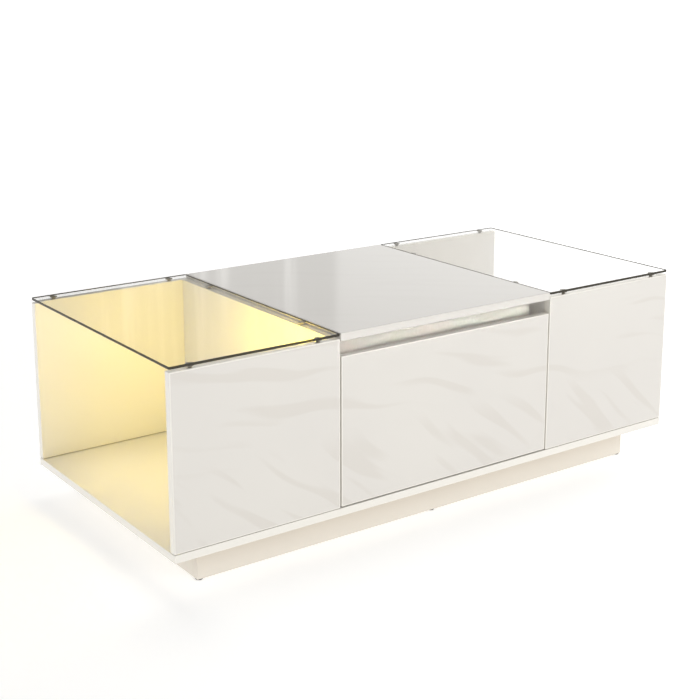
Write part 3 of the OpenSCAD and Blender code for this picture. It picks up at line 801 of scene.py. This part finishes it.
def screwShape(headRadius, length):
    # A countersunk screw that points along +Z, with its head's face at z = 0
    pitch = screwLook["pitch"]
    shankRadius = headRadius * screwLook["shank"]
    coreRadius = shankRadius * screwLook["core"]
    headHeight = headRadius * screwLook["headHeight"]
    profile = [(0, 0), (headRadius - 0.0001, 0), (headRadius, 0.0001), (coreRadius, headHeight)]
    turns = int((length - headHeight - shankRadius) / pitch)
    for turn in range(turns):
        foot = headHeight + turn * pitch
        profile += [(coreRadius, foot + pitch * 0.2), (shankRadius, foot + pitch * 0.5),
                    (coreRadius, foot + pitch * 0.8)]
    profile += [(shankRadius * 0.6, length - shankRadius), (0, length)]
    shape = bmesh.new()
    spinProfile(shape, profile, (0, 0, 0), (0, 0, 1), 16)
    closeShape(shape)
    blank = meshObject("screwBlank", shape)
    cutter = bmesh.new()
    long, wide, deep = (screwLook[k] / 2 for k in ("recessLength", "recessWidth", "recessDepth"))
    for sizes in ((long, wide), (wide, long)):
        verts = addBox(cutter, (-sizes[0], -sizes[1], -deep), (sizes[0], sizes[1], 2 * deep))
        tips = [v for v in verts if v.co.z > 0]
        bmesh.ops.scale(cutter, vec=(screwLook["recessTaper"], screwLook["recessTaper"], 1),
                        verts=tips)
    cutObject = meshObject("screwCutter", cutter)
    cut = blank.modifiers.new("recess", "BOOLEAN")
    cut.operation = "DIFFERENCE"
    cut.solver = "EXACT"
    cut.use_self = True
    cut.object = cutObject
    return finalMesh(blank, cutObject)


def makeScrews(name, node, body, direction):
    # direction(low, high) is the way a screw points
    shape = bmesh.new()
    for low, high in boxesOf(node):
        way = Vector(direction(low, high))
        axis = max(range(3), key=lambda i: abs(way[i]))
        length = high[axis] - low[axis]
        across = (axis + 1) % 3
        headRadius = (high[across] - low[across]) / 2
        copy = shapeOf(screwBlank(headRadius, length))
        head = midway(low, high)
        head[axis] = low[axis] if way[axis] > 0 else high[axis]
        place = Matrix.Translation(head) @ way.to_track_quat("Z", "Y").to_matrix().to_4x4()
        bmesh.ops.transform(copy, matrix=place, verts=copy.verts)
        joinInto(shape, copy)
    finishPiece(name, shape, body, ["zincSteel"], node)


screwBlanks = {}


def screwBlank(headRadius, length):
    # One mesh for all screws of the same size
    key = (round(headRadius, 5), round(length, 5))
    if key not in screwBlanks:
        screwBlanks[key] = screwShape(headRadius, length)
    return screwBlanks[key]


def outwards(low, high):
    return (1 if low[0] > 0 else -1, 0, 0)


def inwards(low, high):
    return (-1 if low[0] > 0 else 1, 0, 0)


def upwards(low, high):
    return (0, 0, 1)


makeScrews("slideOuterScrews", "slide_outer_screws", "root", outwards)
makeScrews("slideInnerScrews", "slide_inner_screws", "drawer", inwards)
makeScrews("liftBaseScrews", "lift_base_screws", "root", outwards)
makeScrews("lidBracketScrews", "lid_bracket_screws", "lid", upwards)
print("screws built")


upperBase = Vector(joints["lid_lift"]["pos_m"])
lowerBase = Vector(joints["lower_arm_left_pivot"]["pos_m"])
upperTip = Vector(joints["lid_level"]["pos_m"])
lowerTip = upperTip + lowerBase - upperBase
armWay = (upperTip - upperBase).normalized()
armLength = (upperTip - upperBase).length
armLook = {
    "width": 0.018,
    "thick": 0.003,
    "edge": 0.0005,
    "grooveIn": 0.0045,
    "grooveDeep": 0.0007,
    "postPlace": 0.040,     # from the pivot to the spring's post
    "postRadius": 0.003,
}
plateLook = {"corner": 0.008, "edge": 0.0004}
bracketLook = {
    "thick": 0.002,
    "past": 0.018,          # how far the deep flange reaches past the pins
    "rib": 0.012,           # height of the wider strip under the lid
    "ribPast": 0.004,
    "corner": 0.004,
    "edge": 0.0003,
}


def makeArm(name, node, body, base):
    # A flat bar with round ends and a pressed groove along both faces
    low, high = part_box(node)
    armOuter = max(abs(low.x), abs(high.x))
    armInner = armOuter - armLook["thick"]
    side = 1 if low.x + high.x > 0 else -1
    half = armLook["width"] / 2
    shape = bmesh.new()
    ring = bmesh.ops.create_circle(shape, cap_ends=True, radius=half, segments=36,
                                   matrix=Matrix.Rotation(math.radians(5), 4, "Z"))["verts"]
    bmesh.ops.translate(shape, vec=(0, armLength, 0), verts=[v for v in ring if v.co.y > 0])
    drawn = bmesh.ops.extrude_face_region(shape, geom=list(shape.faces), use_keep_orig=True)
    bmesh.ops.translate(shape, vec=(0, 0, armOuter - armInner), verts=vertsOf(drawn["geom"]))
    bmesh.ops.transform(shape, matrix=Matrix.Translation((armInner, 0, 0))
                        @ Matrix(((0, 0, 1, 0), (0, 1, 0, 0), (-1, 0, 0, 0), (0, 0, 0, 1))),
                        verts=shape.verts)
    closeShape(shape)
    easeRims(shape, 0, armLook["edge"])
    shape.normal_update()
    flats = sorted((f for f in shape.faces if abs(f.normal.x) > 0.99),
                   key=lambda f: -f.calc_area())[:2]
    for face in flats:
        bmesh.ops.inset_region(shape, faces=[face], thickness=armLook["grooveIn"],
                               use_even_offset=True)
        bmesh.ops.inset_region(shape, faces=[face], thickness=armLook["grooveDeep"],
                               depth=-armLook["grooveDeep"], use_even_offset=True)
    post = high.x - low.x - armLook["thick"]
    if post > 0.001:    # the upper arm carries the post of the spring
        radius = armLook["postRadius"]
        spinProfile(shape, [(0, -0.001), (radius, -0.001), (radius, post - 0.0005),
                            (radius - 0.0004, post), (0, post)],
                    (armInner, armLook["postPlace"], 0), (-1, 0, 0), 20)
    closeShape(shape)
    turn = Matrix.Rotation(math.atan2(armWay.z, armWay.y), 4, "X")
    bmesh.ops.transform(shape, matrix=turn, verts=shape.verts)
    bmesh.ops.translate(shape, vec=(0, base.y, base.z), verts=shape.verts)
    turnToSide(shape, side)
    finishPiece(name, shape, body, ["powderBlack"], node)


def turnToSide(shape, side):
    # The shape is made for the right side and mirrored for the left
    if side < 0:
        bmesh.ops.scale(shape, vec=(-1, 1, 1), verts=shape.verts)
    closeShape(shape)


def plateShape(low, high, thinAxis, corner, edge):
    shape = boxShape(low, high)
    roundEdges(shape, edgesAlong(shape, thinAxis), corner, 8)
    easeRims(shape, thinAxis, edge)
    return shape


def easeRims(shape, thinAxis, edge):
    shape.normal_update()
    rims = [e for e in shape.edges
            if any(abs(f.normal[thinAxis]) > 0.9 for f in e.link_faces)
            and any(abs(f.normal[thinAxis]) < 0.1 for f in e.link_faces)]
    roundEdges(shape, rims, edge, 2)


def makeBasePlate(name, node):
    low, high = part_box(node)
    shape = plateShape(low, high, 0, plateLook["corner"], plateLook["edge"])
    finishPiece(name, shape, "root", ["powderBlack"], node)


def makeBracket(name, node, side):
    # A flange that is screwed under the lid and a deep flange that holds the arm tips
    low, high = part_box(node)
    thick, corner, edge = (bracketLook[key] for key in ("thick", "corner", "edge"))
    flangeLow = upperTip.y - bracketLook["past"]
    flangeHigh = lowerTip.y + bracketLook["past"]
    flangeTop = high.z - plateLook["edge"]
    outer = max(abs(low.x), abs(high.x))
    inner = min(abs(low.x), abs(high.x))
    shape = bmesh.new()
    joinInto(shape, plateShape((inner, low.y, high.z - thick), (outer, high.y, high.z),
                               2, corner, edge))
    joinInto(shape, plateShape((outer - thick, flangeLow, low.z), (outer, flangeHigh, flangeTop),
                               0, plateLook["corner"], plateLook["edge"]))
    past = bracketLook["ribPast"]
    joinInto(shape, plateShape((outer - thick, flangeLow - past, high.z - bracketLook["rib"]),
                               (outer, flangeHigh + past, flangeTop), 0, corner, edge))
    turnToSide(shape, side)
    finishPiece(name, shape, "lid", ["powderBlack"], node)


def makePins(name, node, body, side):
    # Turned pins, each solid rebuilt from the widths of the CAD node along X
    shape = bmesh.new()
    for centre, steps in pinSteps(node, side):
        profile = [(0, steps[0][1])]
        for radius, start, stop in steps:
            ease = min(0.0003, (stop - start) / 4)
            profile += [(radius - ease, start), (radius, start + ease),
                        (radius, stop - ease), (radius - ease, stop)]
        profile.append((0, steps[-1][2]))
        spinProfile(shape, profile, (0, centre[0], centre[1]), (side, 0, 0), 28)
    closeShape(shape)
    finishPiece(name, shape, body, ["turnedSteel"], node)


def pinSteps(node, side):
    # Reads each turned pin of a CAD node: its centre and its [radius, start, stop] steps
    shape = shapeOf(frame["nodes"][node].data)
    bmesh.ops.remove_doubles(shape, verts=shape.verts, dist=1e-6)
    pins = []
    for low, high in boxesOf(node):
        centre = ((low[1] + high[1]) / 2, (low[2] + high[2]) / 2)
        reach = (high[1] - low[1]) / 2 + 1e-4
        rings = {}
        for vert in shape.verts:
            radius = math.hypot(vert.co.y - centre[0], vert.co.z - centre[1])
            if radius < reach and radius > 1e-4:
                at = round(vert.co.x * side, 5)
                rings.setdefault(at, set()).add(round(radius, 4))
        stations = sorted(rings)
        steps = []
        for start, stop in zip(stations, stations[1:]):
            shared = rings[start] & rings[stop]
            if shared:
                steps.append([max(shared), start, stop])
        pins.append((centre, steps))
    shape.free()
    return pins


for sideName, side in (("left", -1), ("right", 1)):
    label = sideName.capitalize()
    makeArm(f"upperArm{label}", f"upper_arm_{sideName}", f"upper_arm_{sideName}", upperBase)
    makeArm(f"lowerArm{label}", f"lower_arm_{sideName}", f"lower_arm_{sideName}", lowerBase)
    makeBasePlate(f"liftPlate{label}", f"lift_base_{sideName}")
    makeBracket(f"lidBracket{label}", f"lid_bracket_{sideName}", side)
    makePins(f"liftPins{label}", f"lift_pivots_{sideName}", "root", side)
    makePins(f"lidPins{label}", f"lid_pivots_{sideName}", "lid", side)

springLook = {"wire": 0.0025, "turns": 4, "pointsPerTurn": 28}


def makeSpring(sideName, side):
    # A torsion spring: coil round the upper pivot, one leg on the plate's post, one on the arm's
    low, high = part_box(f"lift_spring_{sideName}")
    wire = springLook["wire"]
    ringRadius = (high.y - low.y) / 2 - wire / 2
    near = min(abs(low.x), abs(high.x)) + wire / 2
    far = max(abs(low.x), abs(high.x)) - wire / 2
    legRest = math.radians(-90)                     # towards the post under the pivot
    armRest = math.atan2(armWay.z, armWay.y)        # towards the post on the arm
    hook = armLook["postRadius"] + wire / 2 + 0.0002
    lean = math.asin((ringRadius - hook) / armLook["postPlace"])
    startAngle = legRest + math.pi / 2 - lean
    stopAngle = armRest - math.pi / 2 + lean
    sweep = stopAngle - startAngle + 2 * math.pi * springLook["turns"]
    count = springLook["turns"] * springLook["pointsPerTurn"]

    def spot(radius, angle, x):
        return Vector((x, upperBase.y + radius * math.cos(angle),
                       upperBase.z + radius * math.sin(angle)))

    def leg(angle, hand, x):
        post = spot(armLook["postPlace"], angle, x)
        points = []
        for step in range(7):
            around = angle + hand * (math.pi / 2 - lean) - hand * math.pi * step / 8
            points.append(post + Vector((0, math.cos(around), math.sin(around))) * hook)
        return points

    points = list(reversed(leg(legRest, 1, near)))
    for step in range(count + 1):
        share = step / count
        points.append(spot(ringRadius, startAngle + sweep * share, near + (far - near) * share))
    points += leg(armRest, -1, far)
    curve = bpy.data.curves.new(f"liftSpring{sideName}", "CURVE")
    curve.dimensions = "3D"
    curve.bevel_depth = wire / 2
    curve.bevel_resolution = 4
    curve.use_fill_caps = True
    line = curve.splines.new("POLY")
    line.points.add(len(points) - 1)
    for point, place in zip(line.points, points):
        point.co = (place.x * side, place.y, place.z, 1)
    wireObject = bpy.data.objects.new("springWire", curve)
    scene.collection.objects.link(wireObject)
    mesh = finalMesh(wireObject)
    shape = shapeOf(mesh)
    bpy.data.meshes.remove(mesh)
    closeShape(shape)
    piece = finishPiece(f"liftSpring{sideName.capitalize()}", shape, None,
                        ["springSteel"], f"lift_spring_{sideName}")
    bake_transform(piece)


for sideName, side in (("left", -1), ("right", 1)):
    makeSpring(sideName, side)
for node in ("carcass_pegs", "drawer_pegs"):
    pegs = frame["nodes"][node]
    pegs.data.materials.clear()
    pegs.data.materials.append(materials["beech"])
print("lift mechanism built")


stageLook = {
    "floorHalf": 40.0,
    "floorColour": (0.90, 0.90, 0.895, 1),
    "glowNear": 0.40,           # the floor's own light by the table
    "glowFar": 0.68,
    "glowRing": (1.2, 3.5),
    "horizon": (0.97, 0.96, 0.94),
    "zenith": (0.36, 0.36, 0.36),
    "wallShade": 0.81,          # a darker wall behind the left half of the table
    "farShade": 0.20,           # darker still further left
    "shadeTurn": (24.0, 30.5),  # where the one passes to the other, degrees from +Y towards +X
    "wallEnds": (-25.0, 35.1),
    "curtain": 0.35,
    "leftWindow": 0.38,         # extra light from the two open sides
    "rightWindow": 0.35,
}


def makeStage():
    shape = bmesh.new()
    bmesh.ops.create_grid(shape, x_segments=2, y_segments=2, size=stageLook["floorHalf"])
    floor = meshObject("studioFloor", shape)
    material, tree, shader, coords = startMaterial("studioFloor", {
        "Base Color": stageLook["floorColour"], "Roughness": 0.9,
        "Emission Color": (1, 1, 1, 1)})
    away = addNode(tree, "ShaderNodeVectorMath", {"operation": "LENGTH"}, {0: coords})
    near, far = stageLook["glowRing"]
    glow = addRange(tree, away.outputs["Value"], near, far,
                    stageLook["glowNear"], stageLook["glowFar"])
    tree.links.new(glow, shader.inputs["Emission Strength"])
    floor.data.materials.append(material)


def makeWorld():
    # Bright at the horizon, dimmer overhead, with a shaded wall and a curtain behind the table
    world = bpy.data.worlds.new("studioWorld")
    world.use_nodes = True
    tree = world.node_tree
    way = tree.nodes.new("ShaderNodeTexCoord").outputs["Generated"]
    parts = splitAxes(tree, way)
    up = addRange(tree, parts["Z"], 0.0, 0.85)
    sky = addMix(tree, up, (*stageLook["horizon"], 1), (*stageLook["zenith"], 1))
    heading = addMath(tree, "ARCTAN2", parts["X"], parts["Y"])
    start, stop = (math.radians(a) for a in stageLook["wallEnds"])
    wall = addMath(tree, "MULTIPLY",
                   addRange(tree, heading, start - 0.05, start + 0.05),
                   addRange(tree, heading, stop - 0.004, stop + 0.004, 1.0, 0.0))
    folds = addNode(tree, "ShaderNodeCombineXYZ", None, {
        "X": addMath(tree, "MULTIPLY", heading, 70.0),
        "Y": addMath(tree, "MULTIPLY", parts["Z"], 3.0)}).outputs["Vector"]
    fold = addRange(tree, addNoise(tree, folds, 1.0, 3.0, 0.6), 0.5, 0.66)
    shadeStart, shadeStop = (math.radians(a) for a in stageLook["shadeTurn"])
    plain = addRange(tree, heading, shadeStart, shadeStop,
                     stageLook["farShade"], stageLook["wallShade"])
    lit = addMath(tree, "MULTIPLY_ADD", fold, stageLook["curtain"], plain)
    left = addRange(tree, parts["X"], -0.45, -0.9, 0.0, stageLook["leftWindow"])
    right = addRange(tree, parts["X"], 0.45, 0.9, 1.0, 1.0 + stageLook["rightWindow"])
    daylight = addMath(tree, "ADD", right, left)
    shade = addMix(tree, wall, daylight, lit)
    background = tree.nodes["Background"]
    tinted = addNode(tree, "ShaderNodeVectorMath", {"operation": "MULTIPLY"}, {0: sky, 1: shade})
    tree.links.new(tinted.outputs["Vector"], background.inputs["Color"])
    scene.world = world


def addLamp(name, place, target, look):
    data = bpy.data.lights.new(name, "AREA")
    data.spread = math.radians(look.get("spread", 180))
    data.shape = "RECTANGLE"
    data.size, data.size_y = look["size"]
    data.energy = look["power"]
    data.color = look["colour"]
    lamp = bpy.data.objects.new(name, data)
    lamp.location = place
    lamp.rotation_euler = (Vector(target) - Vector(place)).to_track_quat("-Z", "Y").to_euler()
    scene.collection.objects.link(lamp)
    return lamp


makeStage()
makeWorld()
middle = Vector((0, 0, 0.25))
addLamp("frontSoftbox", (1.2, -3.6, 1.4), middle,
        {"size": (2.6, 0.8), "power": 27, "colour": (1.0, 0.99, 0.98)})
addLamp("sideSoftbox", (2.8, 0.7, 0.8), (0.26, 0.0, 0.25),
        {"size": (1.0, 0.7), "power": 14, "colour": (1.0, 0.99, 0.98)})
addLamp("topSoftbox", (0.6, 0.8, 3.4), middle,
        {"size": (2.6, 1.4), "power": 25, "colour": (1.0, 0.98, 0.96)})

# A low strip light that reaches into the finger gap under the lid
gapLook = {"place": Vector((0, -0.53, 0.13)), "below": 0.018, "height": 0.4, "power": 0.025,
           "colour": (1.0, 0.92, 0.87), "spread": 3}
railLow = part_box("finger_rail")[0]
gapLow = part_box("drawer_front")[1].z
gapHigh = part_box("lift_lid")[0].z
gapSpot = Vector((0, railLow.y, (gapLow + gapHigh) / 2 - gapLook["below"]))
gapLook["size"] = (-2 * railLow.x, (gapHigh - gapLow) * gapLook["height"])
gapLamp = addLamp("gapStrip", gapSpot + gapLook["place"], gapSpot, gapLook)
gapLamp.visible_camera = False
gapLamp.visible_glossy = False

# The light bar's own throw into the left bay; each lamp has its place along the bar, its turn
# towards the divider and its power
throwLook = {"lamps": ((0.2, 0.1, 0.26), (0.45, 0.5, 0.48), (0.75, 0.62, 0.44)),
             "clear": 0.014, "fall": 0.14, "size": (0.02, 0.01), "colour": (1.0, 0.74, 0.04),
             "spread": 145}
barLow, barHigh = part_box("light_diffuser")
for share, turn, power in throwLook["lamps"]:
    spot = Vector((barLow.x + (barHigh.x - barLow.x) * share, barHigh.y + throwLook["clear"],
                   barLow.z))
    throw = addLamp("barThrow", spot, spot + Vector((turn, 0.9, -throwLook["fall"])),
                    {**throwLook, "power": power})
    throw.visible_camera = False        # only its light is seen, as the diffuser's
    throw.visible_glossy = False
    throw.visible_transmission = False
scene.view_settings.view_transform = "Standard"
print("stage and lamps placed")
